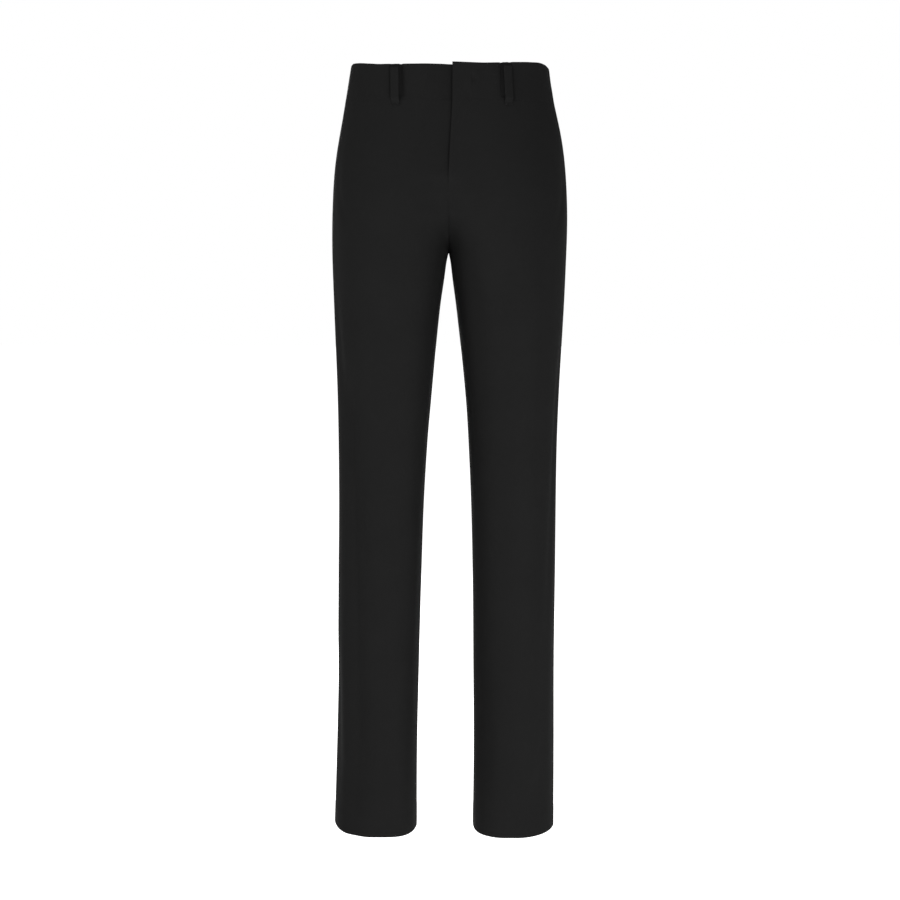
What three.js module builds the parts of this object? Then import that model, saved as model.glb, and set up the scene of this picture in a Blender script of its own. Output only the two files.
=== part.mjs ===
// Quick-dry trousers, filled out as they are worn, with nobody in them.
//
// Millimetres, +Z up. The front faces -Y and the wearer's left is +X. The origin is the middle of
// the waist, level with the front waist edge.
//
// The cloth follows one surface. At each height z the left half and the right half are each a
// section that runs from the centre front (or, below the crotch, from the inseam), over the front
// and the side seam to the back, and on to the centre back (or the inseam again). A place on it is
// given by z and by the distance along that section. Every piece is a wall between two grids of
// points moved off the surface along its normals.

import * as THREE from 'three';

// ---- driving dimensions ----

const BAND_HEIGHT = 45;          // waistband, seam to front top edge
const CROTCH_Z = -243;           // where the four leg panels meet
const CROTCH_X = -1.7;
const HEM_Z = -1059;             // bottom edge of the legs
const CLOTH = 1.4;               // one layer of leg cloth
const BAND_CLOTH = 2.2;          // waistband, folded double
const BAND_PROUD = 0.5;          // waistband outside the leg cloth
const HEM_CLOTH = 2.6;           // turned hem
const HEM_TURN = 28;             // height of the turned hem
const HEM_RISE = { right: 3.2, left: 0.8 };  // the hem is this much higher at the side seam
const SEAM_GAP = 0.3;            // between two pieces that are sewn together
const ROUNDNESS = 2.2;           // exponent of the section curves, 2 is an ellipse
const INNER_ROUNDNESS = 3;       // the same from the inseam to the front, which is squarer
const FRONT_RISE_CURVE = 85;     // height over which the crotch seam sweeps to the front
const BACK_RISE_CURVE = 110;     // and to the back

const LEFT = 1;                  // the wearer's left half, at +X
const RIGHT = -1;

// Sections of the body and legs. out: the side seam's x on each half. front, side, back: y of the
// front of the section, of its side seam and inseam, and of its back. frontAt, backAt: where the
// front and back stand out most, as a share of the way from the inner edge to the side seam.
const SECTIONS = table(
  ['z', 'outRight', 'outLeft', 'front', 'side', 'back', 'frontAt', 'backAt'],
  [
    [20, 131, 131, -98, 3, 103, 0.08, 0.08],
    [0, 135, 134, -100, 3, 106, 0.08, 0.08],
    [-45, 142.5, 140.5, -105, 5, 113, 0.12, 0.12],
    [-60, 145, 146, -107, 5, 117, 0.15, 0.15],
    [-80, 149, 150.5, -109, 6, 121, 0.18, 0.20],
    [-110, 155, 155.5, -112, 8, 128, 0.24, 0.29],
    [-140, 158.5, 158.5, -114, 9, 133, 0.30, 0.37],
    [-170, 160, 160, -115, 10, 135, 0.36, 0.42],
    [-200, 161, 161, -114, 9, 133, 0.41, 0.45],
    [CROTCH_Z, 161, 159.5, -111, 6, 124, 0.45, 0.48],
    [-300, 159, 157.5, -105, 3, 108, 0.48, 0.50],
    [-360, 157, 154.5, -98, 1, 95, 0.50, 0.50],
    [-420, 155, 151.5, -90, 1, 87, 0.50, 0.50],
    [-500, 154, 149, -80, 1, 80, 0.50, 0.50],
    [-600, 154.5, 148, -71, 3, 77, 0.50, 0.50],
    [-700, 156.5, 147.5, -65, 5, 76, 0.50, 0.50],
    [-820, 159, 147, -60, 8, 76, 0.50, 0.50],
    [-940, 162, 148, -56, 10, 77, 0.50, 0.50],
    [HEM_Z, 166, 148.5, -54, 11, 77, 0.50, 0.50],
  ],
);

// The inseams' x below the crotch. The two legs hang a little to the wearer's right.
const INSEAMS = table(
  ['z', 'right', 'left'],
  [
    [CROTCH_Z, CROTCH_X - SEAM_GAP / 2, CROTCH_X + SEAM_GAP / 2],
    [-255, -4.5, 1],
    [-280, -8, 4],
    [-310, -12.5, 8],
    [-340, -16, 11.5],
    [-390, -21, 17],
    [-450, -26.5, 22.5],
    [-500, -31, 25.5],
    [-590, -36.5, 29.5],
    [-700, -40.5, 32],
    [-820, -44, 33],
    [-940, -47, 34],
    [HEM_Z, -48, 33],
  ],
);

// Above the crotch: the x of the centre seam, and how far left of it the fly's edge lies.
const CENTRE = table(
  ['z', 'seam', 'flyEdge'],
  [
    [20, 0, 4],
    [-45, -0.5, 4],
    [-100, -1.5, 2],
    [-150, -2.5, 0.5],
    [-165, -2.5, 0],
    [-200, -2.2, 0],
    [CROTCH_Z, CROTCH_X, 0],
  ],
);

// Height of the waistband's top edge. place: 0 centre front, 1 side seam, 2 centre back.
const BAND_TOP = table(
  ['place', 'right', 'left'],
  [
    [-0.3, -0.5, 2],
    [0, -0.5, 2],
    [0.25, -0.3, 1],
    [0.5, 1, 3.7],
    [0.6, 3, 4.7],
    [0.73, 5.5, 5.5],
    [0.86, 6.5, 3.5],
    [1, 5, 1],
    [1.3, 8, 6],
    [1.6, 12, 11.5],
    [2, 15, 15],
  ],
);

// The largest soft folds of the legs: a trough (depth above 0) or a ridge (below 0) that runs from
// (top, from) to (bottom, to). from and to are places as in the waistband's table.
const FOLDS = table(
  ['side', 'top', 'from', 'bottom', 'to', 'width', 'depth'],
  [
    [RIGHT, -370, 0.74, -980, 0.63, 15, 3.0],
    [RIGHT, -760, 0.95, -1059, 0.80, 20, 2.5],
    [LEFT, -300, 0.30, -1000, 0.28, 24, 3.0],
    [LEFT, -330, 0.86, -760, 0.84, 14, 2.0],
    [RIGHT, -520, 1.45, -1000, 1.62, 22, 3.0],
    [LEFT, -480, 1.60, -980, 1.42, 22, 3.0],
  ],
);

// ---- small helpers ----

function table(names, rows) {
  return rows.map((row) => Object.fromEntries(names.map((name, i) => [name, row[i]])));
}

// The value of one column at a place, on a smooth curve through the table's rows.
function read(rows, key, column, at) {
  const falling = rows[0][key] > rows[1][key] ? -1 : 1;
  const last = rows.length - 2;
  let i = 0;
  while (i < last && (at - rows[i + 1][key]) * falling > 0) i += 1;
  const x0 = rows[i][key];
  const x1 = rows[i + 1][key];
  const step = x1 - x0;
  const t = THREE.MathUtils.clamp((at - x0) / step, 0, 1);
  const y0 = rows[i][column];
  const y1 = rows[i + 1][column];
  const m0 = slope(rows, key, column, i) * step;
  const m1 = slope(rows, key, column, i + 1) * step;
  const t2 = t * t;
  const t3 = t2 * t;
  return (2 * t3 - 3 * t2 + 1) * y0 + (t3 - 2 * t2 + t) * m0 + (3 * t2 - 2 * t3) * y1 + (t3 - t2) * m1;
}

function slope(rows, key, column, i) {
  const before = rows[Math.max(i - 1, 0)];
  const after = rows[Math.min(i + 1, rows.length - 1)];
  return (after[column] - before[column]) / (after[key] - before[key]);
}

// A share that rises softly from 0 at `from` to 1 at `to`, which may lie either way.
function ease(value, from, to) {
  const t = THREE.MathUtils.clamp((value - from) / (to - from), 0, 1);
  return t * t * (3 - 2 * t);
}

// count + 1 even values from a to b.
function steps(a, b, count) {
  return Array.from({ length: count + 1 }, (_, i) => a + ((b - a) * i) / count);
}

// ---- the surface ----

// How far the crotch seam has swept outwards at a height above the crotch, 0 to 1.
function crotchSweep(height, curveHeight) {
  const t = THREE.MathUtils.clamp(height / curveHeight, 0, 1);
  return Math.sqrt(1 - (1 - t) ** 2);
}

// The inner end of a half's section: the inseam's x, or above the crotch the centre seam's.
function innerX(side, z) {
  if (z <= CROTCH_Z) return read(INSEAMS, 'z', side === LEFT ? 'left' : 'right', z);
  return read(CENTRE, 'z', 'seam', z) + (side * SEAM_GAP) / 2;
}

// A quarter of a rounded oval from a, where it runs along Y, to b, where it runs along X. Above the
// crotch only its outer part is left, from swept (0 to 1 of its height) on, and its first stretch
// is drawn in to the centre seam. That makes the crease between the legs, which fades upwards.
function quarter(a, b, swept = 0, roundness = ROUNDNESS) {
  const QUARTER_STEPS = 48;
  const CREASE_SHARPNESS = 3;
  const power = 2 / roundness;
  const first = Math.asin(swept ** (1 / power));
  const across = (angle) => 1 - Math.max(Math.cos(angle), 0) ** power;
  return steps(0, 1, QUARTER_STEPS).map((share) => {
    const angle = THREE.MathUtils.lerp(first, Math.PI / 2, share);
    const drawnIn = across(first) * (1 - share) ** CREASE_SHARPNESS;
    return new THREE.Vector2(
      a.x + (b.x - a.x) * (across(angle) - drawnIn),
      a.y + (b.y - a.y) * Math.sin(angle) ** power,
    );
  });
}

const sectionCache = new Map();

// One half's section at z: its points, the length up to each, and the length at the side seam.
function section(side, z) {
  const key = `${side} ${z}`;
  if (sectionCache.has(key)) return sectionCache.get(key);
  const body = {};
  for (const column of ['front', 'side', 'back', 'frontAt', 'backAt']) {
    body[column] = read(SECTIONS, 'z', column, z);
  }
  const outX = side * read(SECTIONS, 'z', side === LEFT ? 'outLeft' : 'outRight', z);
  const inner = new THREE.Vector2(innerX(side, z), body.side);
  const seam = new THREE.Vector2(outX, body.side);
  const front = new THREE.Vector2(THREE.MathUtils.lerp(inner.x, outX, body.frontAt), body.front);
  const back = new THREE.Vector2(THREE.MathUtils.lerp(inner.x, outX, body.backAt), body.back);
  const height = z - CROTCH_Z;
  const frontHalf = [
    ...quarter(inner, front, crotchSweep(height, FRONT_RISE_CURVE), INNER_ROUNDNESS),
    ...quarter(seam, front).reverse().slice(1),
  ];
  const backHalf = [
    ...quarter(seam, back).slice(1),
    ...quarter(inner, back, crotchSweep(height, BACK_RISE_CURVE)).reverse().slice(1),
  ];
  const points = [...frontHalf, ...backHalf];
  const lengths = [0];
  for (let i = 1; i < points.length; i += 1) {
    lengths.push(lengths[i - 1] + points[i].distanceTo(points[i - 1]));
  }
  const result = {
    points,
    lengths,
    total: lengths.at(-1),
    toSeam: lengths[frontHalf.length - 1],
    middle: new THREE.Vector2((inner.x + outX) / 2, body.side),
  };
  sectionCache.set(key, result);
  return result;
}

// A distance that runs past the centre front or the centre back goes on over the other half.
function onHalf(side, z, distance) {
  const here = section(side, z);
  if (distance < 0) return { side: -side, distance: -distance };
  if (distance > here.total) {
    return { side: -side, distance: section(-side, z).total - (distance - here.total) };
  }
  return { side, distance };
}

function surfacePoint(side, z, distance) {
  const place = onHalf(side, z, distance);
  const { points, lengths } = section(place.side, z);
  let i = 1;
  while (i < lengths.length - 1 && lengths[i] < place.distance) i += 1;
  const span = lengths[i] - lengths[i - 1];
  const t = span > 0 ? (place.distance - lengths[i - 1]) / span : 0;
  const at = points[i - 1].clone().lerp(points[i], t);
  return new THREE.Vector3(at.x, at.y, z);
}

function surfaceNormal(side, z, distance) {
  const REACH = 0.5;
  const place = onHalf(side, z, distance);
  const here = section(place.side, z);
  const low = Math.max(place.distance - REACH, 0);
  const high = Math.min(place.distance + REACH, here.total);
  const along = surfacePoint(place.side, z, high).sub(surfacePoint(place.side, z, low));
  const otherZ = z > CROTCH_Z ? z + REACH : z - REACH;
  const other = section(place.side, otherZ);
  const fromSeam = place.distance - here.toSeam;
  const otherDistance = THREE.MathUtils.clamp(other.toSeam + fromSeam, 0, other.total);
  const upward = surfacePoint(place.side, otherZ, otherDistance)
    .sub(surfacePoint(place.side, z, place.distance));
  const normal = along.cross(upward).normalize();
  const point = surfacePoint(place.side, z, place.distance);
  const outward = new THREE.Vector3(point.x - here.middle.x, point.y - here.middle.y, 0);
  return normal.dot(outward) < 0 ? normal.negate() : normal;
}

// The place of a distance along a half: 0 centre front or inseam, 1 side seam, 2 the back's end.
function placeOf(side, z, distance) {
  const { total, toSeam } = section(side, z);
  return distance < toSeam ? distance / toSeam : 1 + (distance - toSeam) / (total - toSeam);
}

function distanceOf(side, z, place) {
  const { total, toSeam } = section(side, z);
  return place < 1 ? place * toSeam : toSeam + (place - 1) * (total - toSeam);
}

// How far the folds push the cloth in or out at a spot.
function foldLift(side, z, distance) {
  const FADE = 110;
  let lift = 0;
  for (const fold of FOLDS) {
    if (fold.side !== side || z > fold.top) continue;
    const share = (fold.top - z) / (fold.top - fold.bottom);
    const centre = distanceOf(side, z, THREE.MathUtils.lerp(fold.from, fold.to, share));
    const across = Math.exp(-(((distance - centre) / fold.width) ** 2));
    const ends = ease(z, fold.top, fold.top - FADE) * ease(z, fold.bottom - FADE / 2, fold.bottom + FADE);
    lift -= fold.depth * across * ends;
  }
  return lift;
}

// How much higher a spot near the hem hangs than its section does.
function hemRise(side, z, distance) {
  const outwards = 1 - Math.abs(1 - placeOf(side, z, distance));
  const rise = side === LEFT ? HEM_RISE.left : HEM_RISE.right;
  return rise * outwards * ease(z, HEM_Z + 200, HEM_Z);
}

// A point moved off the surface, outwards if the lift is above 0.
function lifted(side, z, distance, lift) {
  const point = surfacePoint(side, z, distance).addScaledVector(surfaceNormal(side, z, distance), lift);
  point.z += hemRise(side, z, distance);
  return point;
}

// ---- walls ----

// A closed solid between an outer and an inner grid of points with the same rows and columns.
function wall(outer, inner) {
  const rows = outer.length;
  const columns = outer[0].length;
  const size = rows * columns;
  const points = [...outer.flat(), ...inner.flat()];
  const faces = [];
  const quad = (a, b, c, d) => faces.push(a, b, c, a, c, d);
  const o = (r, c) => r * columns + c;
  const i = (r, c) => size + r * columns + c;
  for (let r = 0; r < rows - 1; r += 1) {
    for (let c = 0; c < columns - 1; c += 1) {
      quad(o(r, c), o(r, c + 1), o(r + 1, c + 1), o(r + 1, c));
      quad(i(r, c), i(r + 1, c), i(r + 1, c + 1), i(r, c + 1));
    }
    quad(o(r, 0), o(r + 1, 0), i(r + 1, 0), i(r, 0));
    quad(o(r + 1, columns - 1), o(r, columns - 1), i(r, columns - 1), i(r + 1, columns - 1));
  }
  for (let c = 0; c < columns - 1; c += 1) {
    quad(o(0, c + 1), o(0, c), i(0, c), i(0, c + 1));
    quad(o(rows - 1, c), o(rows - 1, c + 1), i(rows - 1, c + 1), i(rows - 1, c));
  }
  return solid(points, faces);
}

// Triangles as a geometry whose faces point out.
function solid(points, faces) {
  let volume = 0;
  for (let f = 0; f < faces.length; f += 3) {
    const [a, b, c] = [points[faces[f]], points[faces[f + 1]], points[faces[f + 2]]];
    volume += a.dot(b.clone().cross(c));
  }
  const geometry = new THREE.BufferGeometry();
  geometry.setAttribute('position', new THREE.Float32BufferAttribute(points.flatMap((p) => p.toArray()), 3));
  geometry.setIndex(volume > 0 ? faces : faces.toReversed());
  geometry.computeVertexNormals();
  return geometry;
}

// A wall over rows of heights. columnsAt(z) gives the distances along the section, liftAt(z,
// distance) the outer side's lift, and thicknessAt(z) the wall's thickness.
function clothWall(side, heights, columnsAt, liftAt, thicknessAt) {
  const outer = [];
  const inner = [];
  for (const z of heights) {
    const columns = columnsAt(z);
    outer.push(columns.map((d) => lifted(side, z, d, liftAt(z, d))));
    inner.push(columns.map((d) => lifted(side, z, d, liftAt(z, d) - thicknessAt(z))));
  }
  return wall(outer, inner);
}

// ---- leg panels ----

const PANEL_TOP = -BAND_HEIGHT - SEAM_GAP;
const FLY_LAP_END = -125;        // the right front runs under the left one down to here
const FLY_EDGES_MEET = -138;     // below here it ends at the left one's edge
const FLY_END = -165;            // and below here the two lie level
const FLY_LAP = 8;               // width of the right front under the left one
const FLY_DIP_WIDTH = 12;        // the right front sinks over this width
const FLY_DIP = CLOTH + SEAM_GAP;
const PANEL_COLUMNS = 10;

const panelHeights = [
  ...steps(PANEL_TOP, FLY_LAP_END, 7),
  ...steps(FLY_EDGES_MEET, CROTCH_Z + FRONT_RISE_CURVE, 4),
  ...steps(1, 0, 8).slice(1).map((t) => CROTCH_Z + FRONT_RISE_CURVE * t * t),
  ...steps(CROTCH_Z, HEM_Z + HEM_TURN, 26).slice(1),
  HEM_Z + HEM_TURN - 3,
  HEM_Z,
];

function panelThickness(z) {
  return THREE.MathUtils.lerp(CLOTH, HEM_CLOTH, ease(z, HEM_Z + HEM_TURN, HEM_Z + HEM_TURN - 3));
}

// Half of the gap at the inseam. Above the crotch the sections already keep the gap.
function inseamInset(z) {
  return z <= CROTCH_Z ? SEAM_GAP / 2 : 0;
}

// Distance from the centre seam to the fly's edge, on the left half.
function flyEdge(z) {
  return z > FLY_END ? read(CENTRE, 'z', 'flyEdge', z) : 0;
}

// How deep the right front lies under the left one.
function flyDip(z, pastEdge) {
  const along = ease(z, FLY_END, FLY_EDGES_MEET);
  return FLY_DIP * along * ease(pastEdge, -FLY_DIP_WIDTH, -SEAM_GAP);
}

// Distances of a panel's columns from its inner edge to its side seam. The ones near the side seam
// keep their places while the crotch seam sweeps away from the inseam, and the others close up.
function panelColumns(inner, seam, reach, count) {
  const SWEPT_SHARE = 0.4;
  const anchor = seam + (inner - seam < 0 ? -1 : 1) * (1 - SWEPT_SHARE) * reach;
  return steps(0, 1, count).map((share) => (share < SWEPT_SHARE
    ? THREE.MathUtils.lerp(inner, anchor, share / SWEPT_SHARE)
    : THREE.MathUtils.lerp(anchor, seam, (share - SWEPT_SHARE) / (1 - SWEPT_SHARE))));
}

// A panel's width at z, without the sudden change that the crotch seam's sweep makes.
function panelReach(z, widthAt, curveHeight) {
  const top = CROTCH_Z + curveHeight;
  if (z <= CROTCH_Z || z >= top) return widthAt(z);
  return THREE.MathUtils.lerp(widthAt(CROTCH_Z), widthAt(top), ease(z, CROTCH_Z, top));
}

function frontColumns(side, z, start, count) {
  const reach = panelReach(z, (at) => section(side, at).toSeam, FRONT_RISE_CURVE);
  return panelColumns(start, section(side, z).toSeam - SEAM_GAP / 2, reach, count);
}

function frontLeft() {
  const columnsAt = (z) => frontColumns(LEFT, z, flyEdge(z) + inseamInset(z), PANEL_COLUMNS);
  const liftAt = (z, d) => foldLift(LEFT, z, d);
  return clothWall(LEFT, panelHeights, columnsAt, liftAt, panelThickness);
}

// The right front's first columns follow the dip along the fly, and spread out below it.
function frontRight() {
  const columnsAt = (z) => {
    const edge = -flyEdge(z);
    const end = section(RIGHT, z).toSeam - SEAM_GAP / 2;
    const lap = z >= FLY_LAP_END ? FLY_LAP : -SEAM_GAP;
    const start = z > FLY_END ? edge - lap : inseamInset(z);
    const dipped = [start, Math.max(edge + SEAM_GAP, start + 2), edge + 4, edge + 8];
    const flyColumns = [...dipped, ...steps(edge + FLY_DIP_WIDTH, end, PANEL_COLUMNS - 2)];
    const evenColumns = frontColumns(RIGHT, z, start, flyColumns.length - 1);
    const nearness = ease(z, -360, FLY_END);
    return flyColumns.map((d, i) => THREE.MathUtils.lerp(evenColumns[i], d, nearness));
  };
  const liftAt = (z, d) => foldLift(RIGHT, z, d) - flyDip(z, -flyEdge(z) - d);
  return clothWall(RIGHT, panelHeights, columnsAt, liftAt, panelThickness);
}

function backPanel(side) {
  const columnsAt = (z) => {
    const { total, toSeam } = section(side, z);
    const width = (at) => section(side, at).total - section(side, at).toSeam;
    const reach = panelReach(z, width, BACK_RISE_CURVE);
    return panelColumns(total - inseamInset(z), toSeam + SEAM_GAP / 2, reach, PANEL_COLUMNS);
  };
  const liftAt = (z, d) => foldLift(side, z, d);
  return clothWall(side, panelHeights, columnsAt, liftAt, panelThickness);
}

// ---- waistband ----

const BAND_COLUMNS = 26;
const BAND_ROWS = 3;
const UNDERLAP = 42;             // how far the right half runs on under the left one
const UNDERLAP_STEP = [0, 8];    // it first clears the cloth, then makes room for the hook
const BAND_DIP = BAND_CLOTH + SEAM_GAP;
const HOOK_ROOM = 2.3;

// Lift of the right half's outer side. pastEdge is the distance under the left half.
function rightBandLift(pastEdge) {
  const dip = BAND_DIP * ease(pastEdge, -FLY_DIP_WIDTH, -SEAM_GAP);
  return BAND_PROUD - dip - HOOK_ROOM * ease(pastEdge, ...UNDERLAP_STEP);
}

// Rows run from the seam to the top edge, whose height differs from place to place. The columns are
// distances at z = 0, and keep their places along the half at other heights.
function bandWall(side, columns, liftOf, topOf) {
  const across = (z, d) => (d < 0 ? d : distanceOf(side, z, placeOf(side, 0, d)));
  const outer = [];
  const inner = [];
  for (const share of steps(0, 1, BAND_ROWS)) {
    const outerRow = [];
    const innerRow = [];
    for (const d of columns) {
      const z = THREE.MathUtils.lerp(-BAND_HEIGHT, topOf(d), share);
      outerRow.push(lifted(side, z, across(z, d), liftOf(d)));
      innerRow.push(lifted(side, z, across(z, d), liftOf(d) - BAND_CLOTH));
    }
    outer.push(outerRow);
    inner.push(innerRow);
  }
  return wall(outer, inner);
}

function bandTop(side, d) {
  return read(BAND_TOP, 'place', side === LEFT ? 'left' : 'right', placeOf(side, 0, d));
}

function waistbandLeft() {
  const columns = steps(flyEdge(0), section(LEFT, 0).total, BAND_COLUMNS);
  return bandWall(LEFT, columns, () => BAND_PROUD, (d) => bandTop(LEFT, d));
}

function waistbandRight() {
  const edge = -flyEdge(0);
  const lapped = [UNDERLAP, 30, 19, 8, 4, -SEAM_GAP, -4, -8].map((past) => edge - past);
  const columns = [...lapped, ...steps(edge + FLY_DIP_WIDTH, section(RIGHT, 0).total, BAND_COLUMNS)];
  return bandWall(RIGHT, columns, (d) => rightBandLift(edge - d), (d) => bandTop(RIGHT, d));
}

// ---- what lies behind the fly and the waistband's lap ----

// A flat piece behind the left front. from and to are distances past the fly's edge, and depth is
// how far its outer side lies behind the surface.
function behindFly({ top, bottom, from, to, depth, thickness, rows, columns }) {
  const columnsAt = (z) => steps(flyEdge(z) + from, flyEdge(z) + to, columns);
  return clothWall(LEFT, steps(top, bottom, rows), columnsAt, () => -depth, () => thickness);
}

const TAPE_DEPTH = FLY_DIP + CLOTH + SEAM_GAP;
const TAPE = 0.8;
const CHAIN_FROM = 9.5;          // the zip's chain runs in this gap between the two tapes
const CHAIN_TO = 14.5;
const TAPE_WIDTH = 12;
const TAPE_TOP = PANEL_TOP - 1;
const TAPE_BOTTOM = -146;
const SLIDER_DEPTH = 2.4;
const SLIDER = 2.6;
const SHIELD_DEPTH = SLIDER_DEPTH + SLIDER + SEAM_GAP;
const HOOK_DEPTH = BAND_CLOTH - BAND_PROUD + SEAM_GAP;
const HOOK = 0.9;
const BAR = 0.8;

const flyPieces = {
  fly_shield: {
    top: TAPE_TOP, bottom: -152, from: -10, to: 34,
    depth: SHIELD_DEPTH, thickness: 1.6, rows: 8, columns: 4,
  },
  zip_tape_left: {
    top: TAPE_TOP, bottom: TAPE_BOTTOM, from: CHAIN_TO, to: CHAIN_TO + TAPE_WIDTH,
    depth: TAPE_DEPTH, thickness: TAPE, rows: 8, columns: 1,
  },
  zip_tape_right: {
    top: TAPE_TOP, bottom: TAPE_BOTTOM, from: CHAIN_FROM - TAPE_WIDTH, to: CHAIN_FROM,
    depth: TAPE_DEPTH, thickness: TAPE, rows: 8, columns: 1,
  },
  zip_slider: {
    top: -50, bottom: -61, from: CHAIN_FROM + SEAM_GAP, to: CHAIN_TO - SEAM_GAP,
    depth: SLIDER_DEPTH, thickness: SLIDER, rows: 2, columns: 1,
  },
  waist_hook: {
    top: -13, bottom: -26, from: 20, to: 31,
    depth: HOOK_DEPTH, thickness: HOOK, rows: 2, columns: 2,
  },
  waist_bar: {
    top: -13, bottom: -26, from: 22, to: 33,
    depth: HOOK_DEPTH + HOOK + SEAM_GAP, thickness: BAR, rows: 2, columns: 2,
  },
};

// ---- belt loops ----

const LOOP_WIDTH = 11;
const LOOP_CLOTH = 1.5;
const LOOP_BOTTOM = -52;
const LOOP_ROWS = 10;
const LOOP_STANDOFF = 3;         // the loop's middle stands this far off the waistband
const LOOP_SEWN = 0.07;          // share of its length that is sewn down at each end

// place is where the loop's middle is along its half, and lean how far its foot is moved outwards.
const LOOPS = table(
  ['name', 'side', 'place', 'lean'],
  [
    ['belt_loop_front_right', RIGHT, 0.372, -6.6],
    ['belt_loop_front_left', LEFT, 0.389, -3.0],
    ['belt_loop_side_right', RIGHT, 1.36, -1.0],
    ['belt_loop_side_left', LEFT, 1.33, 0.5],
    ['belt_loop_back', LEFT, 2, 0],
  ],
);

function beltLoop({ side, place, lean }) {
  const middle = distanceOf(side, 0, place);
  const top = bandTop(side, middle) - 0.4;
  const outer = [];
  const inner = [];
  for (const share of steps(0, 1, LOOP_ROWS)) {
    const z = THREE.MathUtils.lerp(top, LOOP_BOTTOM, share);
    const nearestEnd = Math.min(share, 1 - share);
    const lift = BAND_PROUD + SEAM_GAP + LOOP_STANDOFF * ease(nearestEnd, LOOP_SEWN, LOOP_SEWN + 0.1);
    const centre = distanceOf(side, z, place) + lean * share;
    const columns = steps(centre - LOOP_WIDTH / 2, centre + LOOP_WIDTH / 2, 2);
    outer.push(columns.map((d) => lifted(side, z, d, lift + LOOP_CLOTH)));
    inner.push(columns.map((d) => lifted(side, z, d, lift)));
  }
  return wall(outer, inner);
}

// ---- the scene graph ----

const legCloth = new THREE.MeshStandardMaterial({ name: 'leg_cloth', color: 0x1d1d1f, roughness: 0.85 });
const bandCloth = new THREE.MeshStandardMaterial({ name: 'band_cloth', color: 0x1f1f21, roughness: 0.85 });
const tape = new THREE.MeshStandardMaterial({ name: 'zip_tape', color: 0x151516, roughness: 0.9 });
const metal = new THREE.MeshStandardMaterial({
  name: 'metal', color: 0x6b6b6e, roughness: 0.4, metalness: 1,
});

const trousers = new THREE.Group();

function add(name, geometry, material) {
  const mesh = new THREE.Mesh(geometry, material);
  mesh.name = name;
  trousers.add(mesh);
}

add('front_left', frontLeft(), legCloth);
add('front_right', frontRight(), legCloth);
add('back_left', backPanel(LEFT), legCloth);
add('back_right', backPanel(RIGHT), legCloth);
add('waistband_left', waistbandLeft(), bandCloth);
add('waistband_right', waistbandRight(), bandCloth);
for (const [name, piece] of Object.entries(flyPieces)) {
  const material = { fly_shield: bandCloth, zip_tape_left: tape, zip_tape_right: tape }[name] ?? metal;
  add(name, behindFly(piece), material);
}
for (const loop of LOOPS) add(loop.name, beltLoop(loop), bandCloth);

export default trousers;
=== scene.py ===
"""Quick-dry trousers: the looks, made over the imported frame.

Sizes are in millimetres and become metres where a mesh is made. The cloth follows the same surface
as its solids: at each height z the left and the right half are each a section that runs from the
centre front (or the inseam) over the side seam to the centre back (or the inseam again).
A spot on it is given by the half, z and the distance along that half's section.
"""
import math

import bpy
import numpy as np
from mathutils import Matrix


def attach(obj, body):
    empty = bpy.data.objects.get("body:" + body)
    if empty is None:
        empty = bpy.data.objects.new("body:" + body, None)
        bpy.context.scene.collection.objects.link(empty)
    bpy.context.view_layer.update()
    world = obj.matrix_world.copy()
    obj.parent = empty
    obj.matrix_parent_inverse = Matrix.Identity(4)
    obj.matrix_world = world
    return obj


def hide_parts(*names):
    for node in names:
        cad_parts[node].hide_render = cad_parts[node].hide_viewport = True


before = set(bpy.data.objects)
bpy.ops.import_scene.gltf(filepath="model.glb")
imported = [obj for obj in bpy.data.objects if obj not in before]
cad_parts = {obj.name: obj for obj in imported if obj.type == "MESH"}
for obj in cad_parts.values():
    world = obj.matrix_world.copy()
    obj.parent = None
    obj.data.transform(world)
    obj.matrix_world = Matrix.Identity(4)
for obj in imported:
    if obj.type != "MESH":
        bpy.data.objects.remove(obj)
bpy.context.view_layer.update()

# ---- driving dimensions, mm ----

MM = 0.001
LEFT = 1
RIGHT = -1
BAND_HEIGHT = 45
CROTCH_Z = -243
CROTCH_X = -1.7         # the x of the centre seam's lower end
HEM_Z = -1059
CLOTH = 0.9
BAND_CLOTH = 2.2
BAND_PROUD = 0.05       # the waistband stands out from the legs' surface by this much
HEM_CLOTH = 2.2
HEM_TURN = 28
HEM_EDGE = HEM_Z + HEM_TURN
HEM_RISE = {LEFT: 0.8, RIGHT: 3.2}
HEM_RISE_REACH = 200    # the cloth above the hem follows its rise over this height
ROUNDNESS = 2.2         # of the sections' ovals: 2 is an ellipse, more is squarer
INNER_ROUNDNESS = 3.0
FRONT_RISE_CURVE = 85   # the height over which the crotch curve sweeps up to the centre seam
BACK_RISE_CURVE = 110


def table(names, rows):
    """A dictionary of columns from rows of numbers."""
    return {name: np.array(column) for name, column in zip(names.split(), zip(*rows))}


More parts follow.
